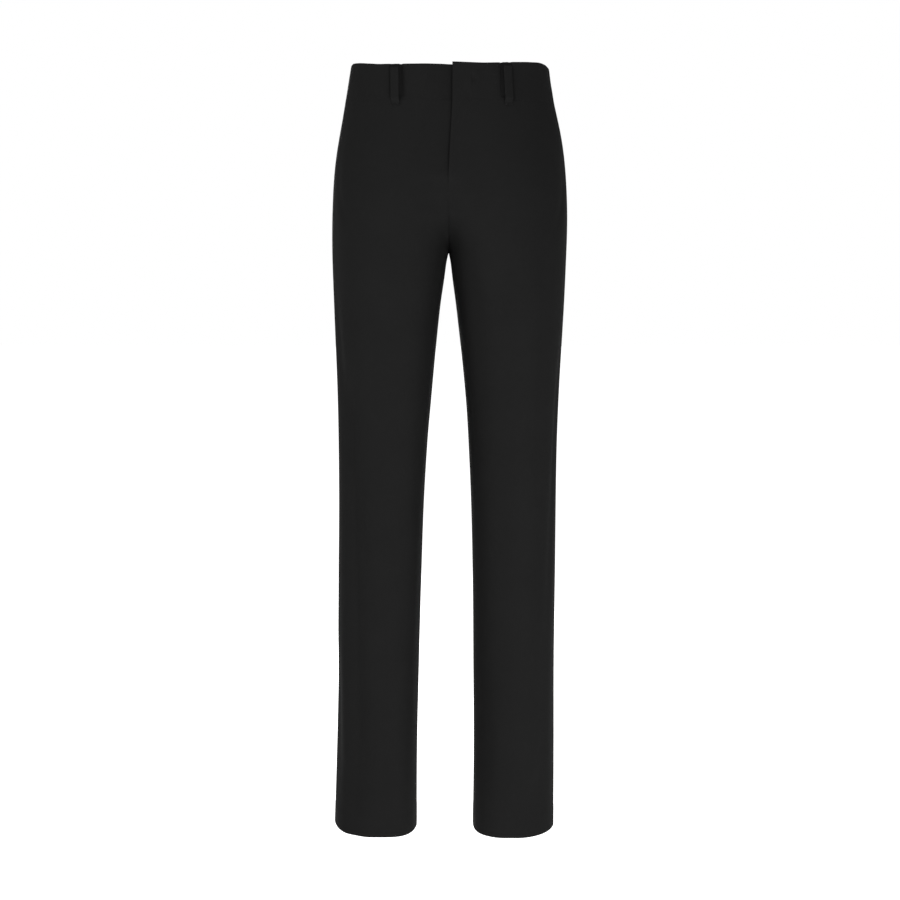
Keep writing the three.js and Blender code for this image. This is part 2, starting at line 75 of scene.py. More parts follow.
SECTIONS = table("z out_right out_left front side back front_at back_at", [
    (20, 131, 131, -98, 3, 103, 0.08, 0.08),
    (0, 135, 134, -100, 3, 106, 0.08, 0.08),
    (-45, 142.5, 140.5, -105, 5, 113, 0.12, 0.12),
    (-60, 145, 146, -107, 5, 117, 0.15, 0.15),
    (-80, 149, 150.5, -109, 6, 121, 0.18, 0.20),
    (-110, 155, 155.5, -112, 8, 128, 0.24, 0.29),
    (-140, 158.5, 158.5, -114, 9, 133, 0.30, 0.37),
    (-170, 160, 160, -115, 10, 135, 0.36, 0.42),
    (-200, 161, 161, -114, 9, 133, 0.41, 0.45),
    (CROTCH_Z, 161, 159.5, -111, 6, 124, 0.45, 0.48),
    (-300, 159, 157.5, -105, 3, 108, 0.48, 0.50),
    (-360, 157, 154.5, -98, 1, 95, 0.50, 0.50),
    (-420, 155, 151.5, -90, 1, 87, 0.50, 0.50),
    (-500, 154, 149, -80, 1, 80, 0.50, 0.50),
    (-600, 154.5, 148, -71, 3, 77, 0.50, 0.50),
    (-700, 156.5, 147.5, -65, 5, 76, 0.50, 0.50),
    (-820, 159, 147, -60, 8, 76, 0.50, 0.50),
    (-940, 162, 148, -56, 10, 77, 0.50, 0.50),
    (HEM_Z, 166, 148.5, -54, 11, 77, 0.50, 0.50),
])
INSEAMS = table("z right left", [
    (CROTCH_Z, CROTCH_X, CROTCH_X),
    (-255, -4.5, 1),
    (-280, -8, 4),
    (-310, -12.5, 8),
    (-340, -16, 11.5),
    (-390, -21, 17),
    (-450, -26.5, 22.5),
    (-500, -31, 25.5),
    (-590, -36.5, 29.5),
    (-700, -40.5, 32),
    (-820, -44, 33),
    (-940, -47, 34),
    (HEM_Z, -48, 33),
])
CENTRE = table("z seam fly_edge", [
    (20, 0, 4),
    (-45, -0.5, 4),
    (-100, -1.5, 2),
    (-150, -2.5, 0.5),
    (-165, -2.5, 0),
    (-200, -2.2, 0),
    (CROTCH_Z, CROTCH_X, 0),
])
BAND_TOP = table("place right left", [
    (-0.3, -0.5, 2),
    (0, -0.5, 2),
    (0.25, -0.3, 1),
    (0.5, 1, 3.7),
    (0.6, 3, 4.7),
    (0.73, 5.5, 5.5),
    (0.86, 6.5, 3.5),
    (1, 5, 1),
    (1.3, 8, 6),
    (1.6, 12, 11.5),
    (2, 15, 15),
])

# Soft folds, from (top, start) to (bottom, end). start and end are places along the half: 0 centre
# front or inseam, 1 side seam, 2 centre back or inseam. Depth above 0 is a trough, below 0 a ridge.
FOLDS = table("side top start bottom end width depth", [
    # right leg, front: the long trough outside the knee, a thin crease on it, the shin's ridge
    (RIGHT, -370, 0.74, -980, 0.63, 15, 5.5),
    (RIGHT, -520, 0.66, -690, 0.59, 5, 1.2),
    (RIGHT, -730, 0.36, -1059, 0.34, 13, -1.6),
    (RIGHT, -760, 0.95, -1059, 0.80, 20, 2.5),
    (RIGHT, -940, 0.72, -1059, 0.66, 16, 4.2),
    (RIGHT, -262, 0.86, -470, 0.78, 11, 1.5),
    (RIGHT, -300, 0.16, -560, 0.11, 9, 1.2),
    # left leg, front: the long trough from the crotch down, and the broad ridge outside it
    (LEFT, -200, 0.35, -1059, 0.27, 23, 4.4),
    (LEFT, -190, 0.60, -1000, 0.52, 27, -7.5),
    (LEFT, -300, 0.18, -560, 0.22, 7, 0.8),
    (LEFT, -330, 0.86, -760, 0.76, 9, 1.8),
    (LEFT, -940, 0.50, -1059, 0.44, 6, -1.2),
    (LEFT, -945, 0.66, -1059, 0.62, 17, 4.2),
    (LEFT, -248, 0.42, -360, 0.50, 9, 1.2),
    # hips: shallow drags from the side seams
    (RIGHT, -95, 0.80, -210, 0.66, 9, 1.0),
    (LEFT, -100, 0.84, -225, 0.70, 10, 1.1),
    # sides and back
    (RIGHT, -520, 1.45, -1000, 1.62, 22, 4.2),
    (RIGHT, -290, 1.20, -640, 1.28, 13, 2.4),
    (RIGHT, -262, 1.76, -470, 1.52, 15, 3.2),
    (RIGHT, -420, 1.66, -560, 1.44, 8, 1.7),
    (RIGHT, -930, 1.30, -1059, 1.26, 12, 2.0),
    (LEFT, -480, 1.60, -980, 1.42, 22, 4.0),
    (LEFT, -330, 1.16, -700, 1.25, 12, 2.2),
    (LEFT, -262, 1.80, -440, 1.55, 14, 3.4),
    (LEFT, -400, 1.60, -520, 1.40, 8, 1.5),
    (LEFT, -900, 1.72, -1059, 1.66, 14, 2.2),
    (RIGHT, -120, 1.40, -215, 1.62, 10, 1.4),
    (LEFT, -130, 1.46, -222, 1.66, 10, 1.6),
])


# ---- the surface ----

def read(rows, key, column, at):
    """The value of one column at a place, on a smooth curve through the table's rows."""
    keys, values = rows[key], rows[column]
    if keys[0] > keys[-1]:
        keys, values = keys[::-1], values[::-1]
    slopes = np.empty_like(values)
    slopes[1:-1] = (values[2:] - values[:-2]) / (keys[2:] - keys[:-2])
    slopes[0] = (values[1] - values[0]) / (keys[1] - keys[0])
    slopes[-1] = (values[-1] - values[-2]) / (keys[-1] - keys[-2])
    i = np.clip(np.searchsorted(keys, at) - 1, 0, len(keys) - 2)
    step = keys[i + 1] - keys[i]
    t = np.clip((at - keys[i]) / step, 0, 1)
    return ((2 * t**3 - 3 * t**2 + 1) * values[i] + (t**3 - 2 * t**2 + t) * slopes[i] * step
            + (3 * t**2 - 2 * t**3) * values[i + 1] + (t**3 - t**2) * slopes[i + 1] * step)


EVENING_REACH = 45      # a section is the mean of those this far above and below it
CROTCH_TURN_REACH = 42  # and so is its inner end, but for the cloth right at the seam
EVENING_STEPS = np.linspace(-1, 1, 15)
EVENING_WEIGHTS = 1 - 0.9 * np.abs(EVENING_STEPS)


def read_evenly(rows, key, column, at):
    """The mean of a column for some way above and below, so that its curve shows no rows."""
    keys = rows[key]
    reach = max(0.0, min(EVENING_REACH, keys.max() - at, at - keys.min()))
    values = read(rows, key, column, at + reach * EVENING_STEPS)
    return float((values * EVENING_WEIGHTS).sum() / EVENING_WEIGHTS.sum())


def ease(value, start, end):
    """A share that rises softly from 0 at start to 1 at end, which may lie either way."""
    t = np.clip((value - start) / (end - start), 0, 1)
    return t * t * (3 - 2 * t)


def bell(offset, width):
    """A share that falls softly from 1 at no offset to about a third at the width."""
    return np.exp(-(offset / width) ** 2)


def side_name(side):
    return "left" if side == LEFT else "right"


def crotch_sweep(height, curve_height):
    """How far a section is drawn in to the centre seam at a height above the crotch."""
    t = np.clip(height / curve_height, 0, 1)
    return math.sqrt(1 - (1 - t) ** 2)


QUARTER_POINTS = 193


def quarter(a, b, swept=0.0, roundness=ROUNDNESS, pulled=0.0):
    """A quarter of a rounded oval from a to b, drawn in to the centre seam where it is swept.

    Its first point is moved by pulled along x, and the cloth near it follows.
    """
    crease_sharpness = 3
    power = 2 / roundness
    first = math.asin(swept ** (1 / power))
    share = np.linspace(0, 1, QUARTER_POINTS)
    angle = first + (math.pi / 2 - first) * share
    across = 1 - np.maximum(np.cos(angle), 0) ** power
    near_seam = (1 - share) ** crease_sharpness
    return np.stack([a[0] + (b[0] - a[0]) * (across - across[0] * near_seam) + pulled * near_seam,
                     a[1] + (b[1] - a[1]) * np.sin(angle) ** power], axis=1)


def inner_x(side, z):
    """The inseam's x, or the centre seam's above the crotch."""
    if z <= CROTCH_Z:
        return read(INSEAMS, "z", side_name(side), z)
    return read(CENTRE, "z", "seam", z)


def smooth_inner_x(side, z):
    """The same without the sudden turn at the crotch, for the cloth away from the seam."""
    values = [inner_x(side, z + CROTCH_TURN_REACH * step) for step in EVENING_STEPS]
    return float(sum(EVENING_WEIGHTS * values) / EVENING_WEIGHTS.sum())


class Section:
    """One half's section at a height: its points, the length up to each, and the side seam's."""

    known = {}

    def __new__(cls, side, z):
        key = (side, round(float(z), 4))
        if key not in cls.known:
            cls.known[key] = super().__new__(cls)
            cls.known[key].make(side, float(z))
        return cls.known[key]

    def make(self, side, z):
        name = side_name(side)
        columns = ("front", "side", "back", "front_at", "back_at")
        body = {column: read_evenly(SECTIONS, "z", column, z) for column in columns}
        out_x = side * read_evenly(SECTIONS, "z", "out_" + name, z)
        in_x = smooth_inner_x(side, z)
        pulled = float(inner_x(side, z)) - in_x
        inner = (in_x, body["side"])
        seam = (out_x, body["side"])
        front = (in_x + (out_x - in_x) * body["front_at"], body["front"])
        back = (in_x + (out_x - in_x) * body["back_at"], body["back"])
        height = z - CROTCH_Z
        front_half = np.concatenate([
            quarter(inner, front, crotch_sweep(height, FRONT_RISE_CURVE), INNER_ROUNDNESS, pulled),
            quarter(seam, front)[::-1][1:],
        ])
        back_half = np.concatenate([
            quarter(seam, back)[1:],
            quarter(inner, back, crotch_sweep(height, BACK_RISE_CURVE), pulled=pulled)[::-1][1:],
        ])
        self.points = np.concatenate([front_half, back_half])
        steps = np.linalg.norm(np.diff(self.points, axis=0), axis=1)
        self.lengths = np.concatenate([[0], np.cumsum(steps)])
        self.total = self.lengths[-1]
        self.to_seam = self.lengths[len(front_half) - 1]
        self.middle = np.array([(in_x + out_x) / 2, body["side"]])

    def at(self, distance):
        x, y = (np.interp(distance, self.lengths, self.points[:, axis]) for axis in (0, 1))
        return np.stack([x, y], axis=-1)


def half_spots(side, z, distance):
    """Points and outward normals of one half's surface at distances that lie on it."""
    reach = 0.5
    here = Section(side, z)
    other_z = z + reach if z > CROTCH_Z else z - reach
    other = Section(side, other_z)
    low = here.at(np.clip(distance - reach, 0, here.total))
    high = here.at(np.clip(distance + reach, 0, here.total))
    flat = here.at(distance)
    moved = other.at(np.clip(other.to_seam + distance - here.to_seam, 0, other.total))
    point = np.column_stack([flat, np.full(len(flat), z)])
    along = np.column_stack([high - low, np.zeros(len(flat))])
    upward = np.column_stack([moved, np.full(len(flat), other_z)]) - point
    normal = np.cross(along, upward)
    normal /= np.linalg.norm(normal, axis=1, keepdims=True)
    outward = np.column_stack([flat - here.middle, np.zeros(len(flat))])
    normal[(normal * outward).sum(axis=1) < 0] *= -1
    return point, normal


def spots(side, z, distance):
    """As half_spots, but a distance past the centre front or back goes on over the other half."""
    distance = np.atleast_1d(np.asarray(distance, dtype=float))
    here, beyond = Section(side, z), Section(-side, z)
    point, normal = half_spots(side, z, np.clip(distance, 0, here.total))
    before = distance < 0
    after = distance > here.total
    for mask, mirrored in ((before, -distance), (after, beyond.total - (distance - here.total))):
        if mask.any():
            point[mask], normal[mask] = half_spots(-side, z, mirrored[mask])
    return point, normal


def reach_of(side, z, back=False):
    """The length from the side seam to a panel's inner edge, but changing softly at the crotch."""
    def width_at(height):
        here = Section(side, height)
        return here.total - here.to_seam if back else here.to_seam

    top = CROTCH_Z + (BACK_RISE_CURVE if back else FRONT_RISE_CURVE)
    if z <= CROTCH_Z or z >= top:
        return width_at(z)
    return width_at(CROTCH_Z) + (width_at(top) - width_at(CROTCH_Z)) * ease(z, CROTCH_Z, top)


def place_of(side, z, distance):
    """0 at the centre front or inseam, 1 at the side seam, 2 at the centre back or inseam."""
    past = distance - Section(side, z).to_seam
    return 1 + past / np.where(past < 0, reach_of(side, z), reach_of(side, z, back=True))


def distance_of(side, z, place):
    reach = np.where(np.asarray(place) < 1, reach_of(side, z), reach_of(side, z, back=True))
    return Section(side, z).to_seam + (place - 1) * reach


FOLD_FADE = 110         # a fold fades in and out over this length,
FOLD_FADE_SHARE = 0.42  # or this share of its own length if that is less


def fold_lift(side, z, distance):
    """How far the folds push the cloth out at a height."""
    lift = np.zeros(len(distance))
    for fold_side, top, start, bottom, end, width, depth in zip(*FOLDS.values()):
        if fold_side != side or z > top:
            continue
        length = top - bottom
        fade = min(FOLD_FADE, FOLD_FADE_SHARE * length)
        centre = distance_of(side, z, start + (end - start) * ((top - z) / length))
        ends = ease(z, top, top - fade) * ease(z, bottom - fade / 2, bottom + fade)
        lift -= depth * bell(distance - centre, width) * ends
    return lift


def seam_dip(side, z, distance):
    """Below the fly's end both fronts sink to their seam, the right one more broadly."""
    ends = ease(z, *SEAM_DIP_BOTTOM) * ease(z, *SEAM_DIP_TOP)
    return SEAM_DIP * bell(np.maximum(distance, 0), SEAM_DIP_WIDTH[side]) * ends


def hem_rise(side, z, distance):
    outwards = 1 - np.abs(1 - place_of(side, z, distance))
    return HEM_RISE[side] * outwards * ease(z, HEM_Z + HEM_RISE_REACH, HEM_Z)


DRAPE_QUIET = 35        # mm from the inner edges
DRAPE_GROWS = (-50, -260)
DRAPE = table("across along height phase", [
    # soft waves of the hanging cloth: cycles from seam to seam, cycles a metre down, mm, turns
    (1.6, 0.7, 0.55, 0.10),
    (2.7, -0.9, 0.40, 0.35),
    (4.1, 0.5, 0.26, 0.62),
    (5.6, -1.3, 0.16, 0.81),
    (7.3, 1.1, 0.09, 0.24),
])


def drape_lift(side, z, distance):
    """The small uneven waves of cloth that hangs, quiet at the inner edges and at the waist."""
    place = place_of(side, z, distance)
    lift = np.zeros(len(distance))
    for across, along, height, phase in zip(*DRAPE.values()):
        turns = across * place + along * z * MM + phase * (2 if side == LEFT else 1)
        lift += height * np.sin(2 * math.pi * turns)
    from_end = Section(side, z).total - distance
    quiet = ease(distance, 0, DRAPE_QUIET) * ease(from_end, 0, DRAPE_QUIET)
    return lift * quiet * ease(z, *DRAPE_GROWS)


# ---- meshes ----

def spaced(start, end, step, near_start=(), near_end=()):
    """Even steps from start to end, with closer ones at given distances from either end."""
    way = 1 if end > start else -1
    length = abs(end - start)
    first = max(near_start, default=0)
    last = max(near_end, default=0)
    middle = np.linspace(first, length - last, max(2, round((length - first - last) / step) + 1))
    lengths = np.concatenate([[0], near_start, middle, length - np.array(near_end), [length]])
    return start + way * np.unique(np.round(lengths, 4))


def rim_loop(grid):
    """The grid's outer points in order, and the way out of the cloth at each, by edge."""
    rows, columns = grid.shape[:2]
    top = [(0, c) for c in range(columns)]
    end = [(r, columns - 1) for r in range(rows)]
    bottom = [(rows - 1, c) for c in range(columns - 1, -1, -1)]
    start = [(r, 0) for r in range(rows - 1, -1, -1)]
    inwards = {"top": (1, 0), "end": (0, -1), "bottom": (-1, 0), "start": (0, 1)}
    loop = {}
    for edge, spots_on_it in (("top", top), ("end", end), ("bottom", bottom), ("start", start)):
        for r, c in spots_on_it:
            dr, dc = inwards[edge]
            out = grid[r, c] - grid[r + dr, c + dc]
            loop.setdefault((r, c), []).append((edge, out / max(np.linalg.norm(out), 1e-9)))
    return loop


EDGE_TURNS = (0.25, 0.5, 0.75)  # rings of points round an edge, in shares of its half turn


def cloth_shell(name, outer, inner, uv, bulge):
    """A closed cloth wall between two grids, in mm. bulge says how far each edge is rounded out."""
    rows, columns = outer.shape[:2]
    loop = rim_loop(outer)
    points = [outer.reshape(-1, 3), inner.reshape(-1, 3)]
    uvs = [uv.reshape(-1, 2)] * 2
    size = rows * columns
    rings = [[r * columns + c for r, c in loop]]
    for turn in EDGE_TURNS:
        angle = turn * math.pi
        ring = []
        for (r, c), ways in loop.items():
            middle = (outer[r, c] + inner[r, c]) / 2
            out = sum(way * bulge[edge] for edge, way in ways)
            ring.append(middle + (outer[r, c] - middle) * math.cos(angle) + out * math.sin(angle))
        first = sum(len(p) for p in points)
        rings.append(list(range(first, first + len(ring))))
        points.append(np.array(ring))
        uvs.append(np.array([uv[r, c] for r, c in loop]))
    rings.append([size + r * columns + c for r, c in loop])

    index = np.arange(size).reshape(rows, columns)
    corners = [index[:-1, :-1], index[:-1, 1:], index[1:, 1:], index[1:, :-1]]
    quads = np.stack(corners, axis=-1).reshape(-1, 4)
    faces = [quads, quads[:, ::-1] + size]
    for a, b in zip(rings, rings[1:]):
        a, b = np.array(a), np.array(b)
        faces.append(np.stack([np.roll(a, -1), a, b, np.roll(b, -1)], axis=-1))
    points, faces, uvs = (np.concatenate(parts) for parts in (points, faces, uvs))
    return mesh_object(name, points * MM, faces, uv=uvs)


def mesh_object(name, points, faces, body="root", uv=None):
    """A smooth mesh whose faces point out, riding on a body."""
    mesh = bpy.data.meshes.new(name)
    mesh.from_pydata(points.tolist(), [], faces.tolist())
    a, b, c = (points[faces[:, k]] for k in (0, 1, 2))
    if np.einsum("ij,ij->", a, np.cross(b, c)) < 0:
        mesh.flip_normals()
    mesh.polygons.foreach_set("use_smooth", [True] * len(mesh.polygons))
    if uv is not None:
        layer = mesh.uv_layers.new(name="cloth_mm")
        corners = np.empty(len(mesh.loops), dtype=np.int32)
        mesh.loops.foreach_get("vertex_index", corners)
        layer.data.foreach_set("uv", uv[corners].astype(np.float32).ravel())
    mesh.update()
    piece = bpy.data.objects.new(name, mesh)
    bpy.context.scene.collection.objects.link(piece)
    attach(piece, body)
    return piece


def wall_grids(side, heights, columns_at, lift_at, thickness_at):
    """Outer and inner points and cloth coordinates in mm, a row for each height."""
    outer, inner, uv = [], [], []
    for z in heights:
        distance = columns_at(z)
        point, normal = spots(side, z, distance)
        point[:, 2] += hem_rise(side, z, distance)
        lift = lift_at(z, distance)[:, None]
        outer.append(point + normal * lift)
        inner.append(point + normal * (lift - thickness_at(z)))
        uv.append(np.column_stack([distance - Section(side, z).to_seam, np.full(len(distance), z)]))
    return np.array(outer), np.array(inner), np.array(uv)


# ---- leg panels ----

WAIST_SEAM = 0.1
PANEL_TOP = -BAND_HEIGHT - WAIST_SEAM
FLY_LAP_END = -125
FLY_EDGES_MEET = -138
FLY_END = -165
FLY_LAP = 8
FLY_FOLD = 0.35         # the left front is a little thicker along the fly's folded edge
FLY_FOLD_WIDTH = 7
FLY_DIP = CLOTH + 0.4   # the right front sinks by this much to run under the left one,
FLY_DIP_RANGE = (-18, -0.3)  # between these distances past the left one's edge,
FLY_DIP_FULL = -118     # in full from this height up
HOLLOW = 3.8            # and it also sinks in a broad soft hollow,
HOLLOW_RANGE = (-44, 0)
HOLLOW_BEHIND = (22, 9)  # which ends again well under the left front
SEAM_DIP = 5.5
SEAM_DIP_WIDTH = {LEFT: 13, RIGHT: 30}
SEAM_DIP_TOP = (FLY_EDGES_MEET, -160)
SEAM_DIP_BOTTOM = (-194, -176)
ROLL = 0.3              # at a seam the cloth rolls in by this much
ROLL_WIDTH = 1.0
ROLL_START = 10         # the inseam's roll begins over this height below the crotch
WAIST_ROLL = 0.05       # the waist seam is pressed flat
WAIST_ROLL_WIDTH = 1.4
HEM_SHOWS = 0.25        # the turned hem's thickness shows by this much
GRID_STEP = 4.0
COLUMN_STEP = 3.0
NEAR_SEAM = (0.4, 0.9, 1.6, 2.6, 4.2, 6.4)
NEAR_FLY = (0.4, 0.9, 1.6, 2.6, 4.0, 5.5, 7.0, 8.5, 10.0, 11.5, 13.0, 15.0, 17.5, 20.5, 24)
REFERENCE_WIDTH = 250.0

FRONT_SHARES = spaced(0, REFERENCE_WIDTH, COLUMN_STEP, NEAR_FLY, NEAR_SEAM) / REFERENCE_WIDTH
BACK_SHARES = spaced(0, REFERENCE_WIDTH, COLUMN_STEP, NEAR_SEAM, NEAR_SEAM) / REFERENCE_WIDTH
NEAR_CROTCH = (0.6, 1.5, 2.7, 4.2, 6.0, 8.2, 10.8, 13.8, 17.2, 21)
NEAR_HEM = (*NEAR_SEAM, HEM_TURN - 4, HEM_TURN - 2, HEM_TURN, HEM_TURN + 2)
PANEL_HEIGHTS = np.concatenate([
    spaced(PANEL_TOP, CROTCH_Z, GRID_STEP, NEAR_SEAM, NEAR_CROTCH),
    spaced(CROTCH_Z, HEM_Z, GRID_STEP, (), NEAR_HEM)[1:],
])
# The inner edges are rounded out into each other, so that no light comes through the crotch seam.
PANEL_BULGE = {"top": 0.12, "bottom": 0.8, "start": 0.5, "end": 0.12}


def panel_thickness(z):
    return CLOTH + (HEM_CLOTH - CLOTH) * ease(z, HEM_EDGE, HEM_EDGE - 3)


def fly_edge(z):
    return float(read(CENTRE, "z", "fly_edge", z)) if z > FLY_END else 0.0


def fly_dip(z, past_edge):
    """How deep the right front sinks as it runs under the left one."""
    steep = FLY_DIP * ease(past_edge, *FLY_DIP_RANGE)
    return (steep + hollow(past_edge)) * ease(z, FLY_END, FLY_DIP_FULL)


def hollow(past_edge):
    """The hollow beside the fly's edge."""
    return HOLLOW * ease(past_edge, *HOLLOW_RANGE) * ease(past_edge, *HOLLOW_BEHIND)


def panel_columns(inner, seam, reach, shares):
    """Distances of the columns from the inner edge to the side seam.

    The part near the inner edge narrows or widens with it, and the rest keeps to the reach.
    """
    swept_share = 0.4
    anchor = seam + math.copysign((1 - swept_share) * reach, inner - seam)
    near = inner + (anchor - inner) * shares / swept_share
    far = anchor + (seam - anchor) * (shares - swept_share) / (1 - swept_share)
    return np.where(shares < swept_share, near, far)


def front_columns(side, z, start):
    return panel_columns(start, Section(side, z).to_seam, reach_of(side, z), FRONT_SHARES)


def back_columns(side, z):
    here = Section(side, z)
    return panel_columns(here.total, here.to_seam, reach_of(side, z, back=True), BACK_SHARES)


def facing(z, back):
    """How much a panel rolls in at its inner seam, from 0 to 1.

    1 where the two halves lie side by side at the centre seam, 0 where they face each other, as
    they do at the crotch, and soon 1 again down the inseam.
    """
    if z <= CROTCH_Z:
        return float(ease(z, CROTCH_Z, CROTCH_Z - ROLL_START))
    normals = []
    for side in (LEFT, RIGHT):
        distance = Section(side, z).total if back else 0.0
        normals.append(half_spots(side, z, np.array([distance]))[1][0])
    return max(0.0, float(normals[0] @ normals[1]))


def rolled(distance, inner_share):
    """The roll of a panel into its two seams, of which the inner one takes a share."""
    inner, side_seam = (bell(distance - edge, ROLL_WIDTH) for edge in (distance[0], distance[-1]))
    return -ROLL * (inner_share * inner + side_seam)


def cloth_lift(side, z, distance):
    """Folds and drape, the roll at the waist seam, and the hem's own thickness showing."""
    lift = fold_lift(side, z, distance) + drape_lift(side, z, distance)
    lift -= WAIST_ROLL * bell(z - PANEL_TOP, WAIST_ROLL_WIDTH)
    return lift + HEM_SHOWS * ease(z, HEM_EDGE + 3, HEM_EDGE - 2)


def front_left():
    def lift_at(z, distance):
        folded = FLY_FOLD * bell(distance - fly_edge(z), FLY_FOLD_WIDTH)
        folded *= ease(z, FLY_END, FLY_EDGES_MEET)
        sunk = seam_dip(LEFT, z, distance) + hook_drag(distance, z)
        return cloth_lift(LEFT, z, distance) - sunk + folded + rolled(distance, facing(z, False))

    def columns_at(z):
        return front_columns(LEFT, z, fly_edge(z))

    return wall_grids(LEFT, PANEL_HEIGHTS, columns_at, lift_at, panel_thickness)


def front_right():
    def columns_at(z):
        edge = -fly_edge(z)
        lap = FLY_LAP * float(ease(z, FLY_EDGES_MEET, FLY_LAP_END))
        return front_columns(RIGHT, z, edge - lap if z > FLY_END else 0.0)

    def lift_at(z, distance):
        below_fly = ease(z, FLY_EDGES_MEET, FLY_END)
        dipped = fly_dip(z, -fly_edge(z) - distance) + seam_dip(RIGHT, z, distance)
        sewn = rolled(distance, facing(z, False) * below_fly)
        return cloth_lift(RIGHT, z, distance) - dipped + sewn

    return wall_grids(RIGHT, PANEL_HEIGHTS, columns_at, lift_at, panel_thickness)


def back_panel(side):
    def columns_at(z):
        return back_columns(side, z)

    def lift_at(z, distance):
        return cloth_lift(side, z, distance) + rolled(distance, facing(z, True))

    return wall_grids(side, PANEL_HEIGHTS, columns_at, lift_at, panel_thickness)


def cut_of(grids):
    """The flat cut of a grid of cloth: its width and length in metres, and its area."""
    outer = grids[0] * MM
    across = np.linalg.norm(np.diff(outer, axis=1), axis=2)
    down = np.linalg.norm(np.diff(outer, axis=0), axis=2)
    a = outer[1:, 1:] - outer[:-1, :-1]
    b = outer[1:, :-1] - outer[:-1, 1:]
    area = np.linalg.norm(np.cross(a, b), axis=2).sum() / 2
    return (float(across.sum(axis=1).max()), float(down.sum(axis=0).max())), float(area)


def declare_sheet(grids):
    flat, area = cut_of(grids)


def make_panels():
    grids = {
        "front_left": front_left(),
        "front_right": front_right(),
        "back_left": back_panel(LEFT),
        "back_right": back_panel(RIGHT),
    }
    for node, (outer, inner, uv) in grids.items():
        piece = cloth_shell(node + "_cloth", outer, inner, uv, PANEL_BULGE)
        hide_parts(node)
        declare_sheet(grids[node])
        piece.data.materials.append(leg_cloth)


# ---- waistband ----

UNDERLAP = 42
BAND_DIP = BAND_CLOTH + 0.3
BAND_WAVES = ((0.30, 3.1, 0.2), (0.18, 7.7, 0))  # mm, cycles along a half, turns by side
BAND_QUIET = 0.2        # the waves fade in over this share of a half from either end,
BAND_WAVES_RISE = (-BAND_HEIGHT, -25)  # and from the seam up
HOOK_ROOM = 0.5         # the underlap leaves this much room for the hook and its bar,
HOOK_ROOM_RANGE = (0, 8)  # between these distances past the left half's edge
HOOK_AT = (30, -19)     # the fastening behind the band: mm along from the centre front, and height
HOOK_PRINT = ((0.9, 9, 12), (-2.5, 3.0, 5.5))  # lift, reach along and in height, mm
HOOK_DRAG = 1.5
HOOK_DRAG_WIDTH = 6
HOOK_DRAG_SLANT = 0.35  # mm towards the fly for each one down
HOOK_DRAG_ASIDE = 3     # it starts this much nearer to the fly than the dent
HOOK_DRAG_TOP = (HOOK_AT[1], -40)
HOOK_DRAG_BOTTOM = (-95, -55)
LOOP_BOTTOM = -52
FRONT_LOOPS = {RIGHT: (0.372, -6.6), LEFT: (0.389, -3.0)}  # place, and lean in mm at the bottom
GROOVE_WIDTH = 2.6
GROOVE_FADE = (-BAND_HEIGHT, -38)
GROOVES = {
    # the band sinks beside the front loops: mm beside the loop's middle, and depth
    RIGHT: ((-6.4, 2.8), (6.2, 1.0)),
    LEFT: ((-6.2, 2.4), (6.2, 2.6)),
}
FINE_REACH = 12         # round the loops and the hook the columns lie closer, over this way
FINE_STEP = 1.1
CLOSEST_COLUMNS = 0.35
BAND_ROW_STEP = 2.6
BAND_SHARES = spaced(0, BAND_HEIGHT, BAND_ROW_STEP, NEAR_SEAM[:4], NEAR_SEAM[:4]) / BAND_HEIGHT
NEAR_BAND_EDGE = (1.2, 2.4, 3.6, 5, 6.5, 8, 10, 12)
BAND_BULGE = {"top": 0.08, "bottom": 1.0, "start": 0.9, "end": 0.08}


def band_top(side, distance):
    return read(BAND_TOP, "place", side_name(side), place_of(side, 0, distance))


def band_grids(side, columns, lift_of):
    """Rows run from the seam up to the top edge, whose height differs from place to place."""
    top = band_top(side, columns)
    places = place_of(side, 0, columns)
    outer, inner, uv = [], [], []
    for share in BAND_SHARES:
        row_outer, row_inner = [], []
        for distance, place, height in zip(columns, places, top):
            z = -BAND_HEIGHT + (height + BAND_HEIGHT) * share
            here = distance if distance < 0 else float(distance_of(side, z, place))
            point, normal = spots(side, z, here)
            lift = lift_of(distance, z)
            row_outer.append(point[0] + normal[0] * lift)
            row_inner.append(point[0] + normal[0] * (lift - BAND_CLOTH))
        outer.append(row_outer)
        inner.append(row_inner)
        uv.append(np.column_stack([columns, -BAND_HEIGHT + (top + BAND_HEIGHT) * share]))
    return np.array(outer), np.array(inner), np.array(uv)


def band_relief(side, distance, z):
    """The band's own soft unevenness, its roll at the seam, and the dent over the fastening."""
    place = float(place_of(side, 0, distance))
    waves = sum(height * math.sin(2 * math.pi * (cycles * place + turns * side))
                for height, cycles, turns in BAND_WAVES)
    ends = ease(place, 0, BAND_QUIET) * ease(place, 2, 2 - BAND_QUIET)
    relief = waves * ends * ease(z, *BAND_WAVES_RISE)
    relief -= WAIST_ROLL * bell(z + BAND_HEIGHT, WAIST_ROLL_WIDTH)
    for beside, depth in GROOVES[side]:
        centre = front_loop_at(side, z) + beside
        relief -= depth * bell(distance - centre, GROOVE_WIDTH) * ease(z, *GROOVE_FADE)
    if side == LEFT:
        along, up = distance - HOOK_AT[0], z - HOOK_AT[1]
        relief += sum(lift * bell(along, wide) * bell(up, high) for lift, wide, high in HOOK_PRINT)
        relief -= hook_drag(distance, z)
    return float(relief)


def front_loop_at(side, z):
    """Where a front belt loop's middle lies along its half of the waistband."""
    place, lean = FRONT_LOOPS[side]
    return float(distance_of(side, 0, place)) + lean * z / LOOP_BOTTOM


